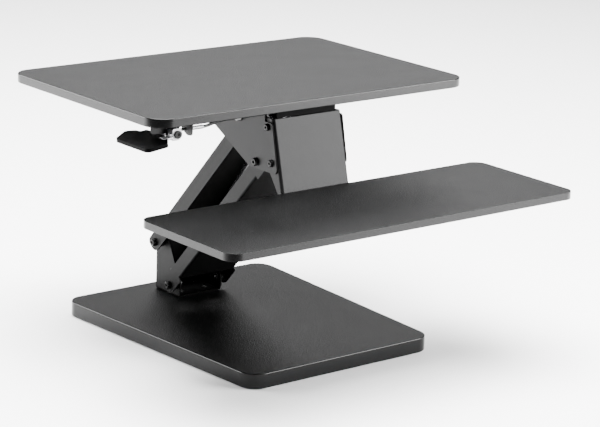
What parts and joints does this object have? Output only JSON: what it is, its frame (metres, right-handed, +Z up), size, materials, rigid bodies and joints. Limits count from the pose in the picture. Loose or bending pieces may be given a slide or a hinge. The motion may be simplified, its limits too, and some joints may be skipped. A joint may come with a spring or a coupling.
{
  "type": "standing desk converter",
  "caption": "Desk-top sit-stand converter: a worktop and a lower keyboard tray on one parallelogram arm column with a gas spring and a release lever.",
  "frame": {"origin": "under the middle of the base board, on the surface it stands on", "axes": "+X across the converter to the user's right, -Y towards the user, +Z up"},
  "size_m": [0.704, 0.6586, 0.4365],
  "materials": {
    "laminate": "fine pebbled dark laminate",
    "steel": "fine black powder coat",
    "bracket_steel": "fine grey-black powder coat",
    "channel_steel": "black powder coat",
    "bolt": "black oxide",
    "screw": "black zinc",
    "spring_steel": "oiled spring wire",
    "zinc": "zinc plated",
    "chrome_rod": "ground and polished",
    "cylinder_paint": "gloss black paint",
    "brass": "turned brass",
    "bush_plastic": "black nylon",
    "casting": "tumbled zinc casting",
    "paddle_plastic": "fine moulded texture",
    "cable_plastic": "smooth sheath",
    "clip_nylon": "natural nylon",
    "rubber": "soft matte"
  },
  "bodies": {
    "base": {"base_board": "laminate", "base_pads": "rubber", "lower_bracket": "steel", "bracket_screws": "screw", "lower_pivot_bolts": "bolt", "lower_pivot_nuts": "bolt", "gas_lower_pin": "bolt", "lower_pin_rings": "bolt"},
    "rear_arm": {"rear_arm": "steel", "rear_arm_bushes": "bush_plastic"},
    "front_arm": {"front_arm": "steel", "front_arm_bushes": "bush_plastic"},
    "head": {"upper_plate_left": "steel", "upper_plate_right": "steel", "upper_pivot_bolts": "bolt", "upper_pivot_nuts": "bolt", "upper_pivot_tube": "channel_steel", "cross_channel": "channel_steel", "gas_mount": "steel", "gas_upper_pin": "zinc", "tray_hanger": "steel", "hanger_bolts": "bolt", "hanger_nuts": "bolt", "worktop": "laminate", "worktop_screws": "screw", "keyboard_tray": "laminate", "tray_screws": "screw", "lever_bracket": "bracket_steel", "lever_pivot_screw": "bolt", "lever_spring": "spring_steel", "release_cable": "cable_plastic", "cable_adjuster": "casting", "cable_end": "casting", "cable_clips": "clip_nylon", "clip_screws": "screw"},
    "spring_rod": {"gas_rod": "chrome_rod", "gas_piston": "zinc", "gas_release_head": "zinc"},
    "spring_cylinder": {"gas_cylinder": "cylinder_paint", "gas_rod_guide": "brass"},
    "lever": {"lever_arm": "casting", "lever_paddle": "paddle_plastic"}
  },
  "joints": [
    {"name": "lift", "type": "hinge", "parent": "base", "child": "rear_arm", "pos_m": [0, 0.203, 0.116], "axis": [-1, 0, 0], "range_deg": [-42.5, 14.5]},
    {"name": "front_arm_swing", "type": "hinge", "parent": "base", "child": "front_arm", "pos_m": [0, 0.158, 0.05], "axis": [-1, 0, 0], "range_deg": [-43, 15]},
    {"name": "head_level", "type": "hinge", "parent": "rear_arm", "child": "head", "pos_m": [0, -0.05035, 0.39248], "axis": [-1, 0, 0], "range_deg": [-15, 43]},
    {"name": "spring_swing", "type": "hinge", "parent": "head", "child": "spring_rod", "pos_m": [0, -0.06935, 0.39248], "axis": [-1, 0, 0], "range_deg": [-44, 16]},
    {"name": "spring_stroke", "type": "slide", "parent": "spring_rod", "child": "spring_cylinder", "axis": [0, 0.5992, -0.8006], "range_m": [-0.04, 0.02]},
    {"name": "lever_squeeze", "type": "hinge", "parent": "head", "child": "lever", "pos_m": [-0.2635, -0.13435, 0.40398], "axis": [0, 1, 0], "range_deg": [0, 10], "stiffness_Nm_per_rad": 0.6}
  ],
  "couplings": [
    {"joint": "front_arm_swing", "follows": "lift", "ratio": 1},
    {"joint": "head_level", "follows": "lift", "ratio": -1},
    {"joint": "spring_swing", "follows": "lift", "ratio": 0.95},
    {"joint": "spring_stroke", "follows": "lift", "m_per_rad": 0.0415}
  ]
}
